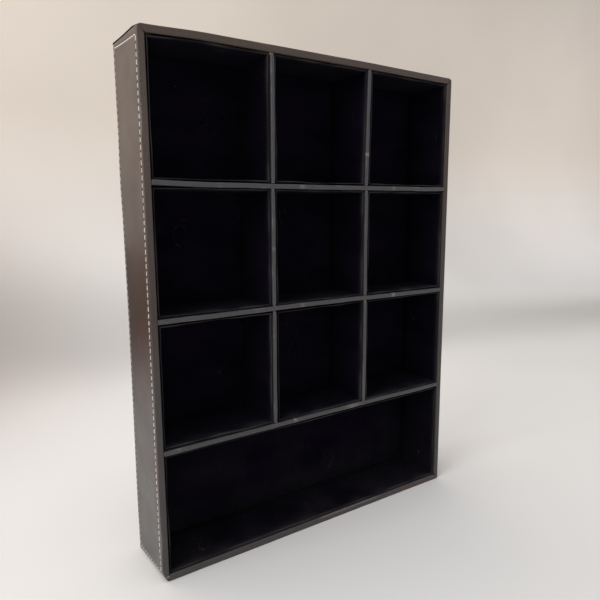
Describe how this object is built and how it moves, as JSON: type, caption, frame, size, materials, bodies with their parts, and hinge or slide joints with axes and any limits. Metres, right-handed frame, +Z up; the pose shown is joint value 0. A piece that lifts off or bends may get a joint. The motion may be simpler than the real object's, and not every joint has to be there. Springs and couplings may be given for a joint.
{
  "type": "coin display case",
  "caption": "Shallow open-front leather-covered case with shelves and uprights that make square velvet-lined compartments above one full-width compartment.",
  "frame": {"origin": "on the floor, at the centre of the case's footprint", "axes": "+X to the right of somebody facing the open front, +Y from the open front to the back, +Z up"},
  "size_m": [0.3, 0.055, 0.4],
  "materials": {
    "leather": "dark charcoal-brown coated leather, fine grain, satin",
    "velvet": "black short-pile velvet",
    "board": "raw medium-density fibreboard",
    "thread": "cream polyester sewing thread",
    "pin_wire": "bright drawn wire"
  },
  "bodies": {
    "root": {"left_board": "board", "right_board": "board", "top_board": "board", "bottom_board": "board", "back_board": "board", "left_cover": "leather", "right_cover": "leather", "top_cover": "leather", "bottom_cover": "leather", "back_panel": "leather", "left_facing": "leather", "right_facing": "leather", "top_facing": "leather", "bottom_facing": "leather", "left_thread": "thread", "right_thread": "thread", "top_thread": "thread", "bottom_thread": "thread", "corner_pins": "pin_wire", "back_pins": "pin_wire", "shelf_board_1": "board", "shelf_board_2": "board", "shelf_board_3": "board", "shelf_wrap_1": "leather", "shelf_wrap_2": "leather", "shelf_wrap_3": "leather", "upright_board_1_left": "board", "upright_board_1_right": "board", "upright_board_2_left": "board", "upright_board_2_right": "board", "upright_board_3_left": "board", "upright_board_3_right": "board", "upright_wrap_1_left": "leather", "upright_wrap_1_right": "leather", "upright_wrap_2_left": "leather", "upright_wrap_2_right": "leather", "upright_wrap_3_left": "leather", "upright_wrap_3_right": "leather", "liner_1_left": "velvet", "liner_1_middle": "velvet", "liner_1_right": "velvet", "liner_2_left": "velvet", "liner_2_middle": "velvet", "liner_2_right": "velvet", "liner_3_left": "velvet", "liner_3_middle": "velvet", "liner_3_right": "velvet", "back_pad_1_left": "velvet", "back_pad_1_middle": "velvet", "back_pad_1_right": "velvet", "back_pad_2_left": "velvet", "back_pad_2_middle": "velvet", "back_pad_2_right": "velvet", "back_pad_3_left": "velvet", "back_pad_3_middle": "velvet", "back_pad_3_right": "velvet", "liner_4": "velvet", "back_pad_4": "velvet"}
  },
  "joints": []
}
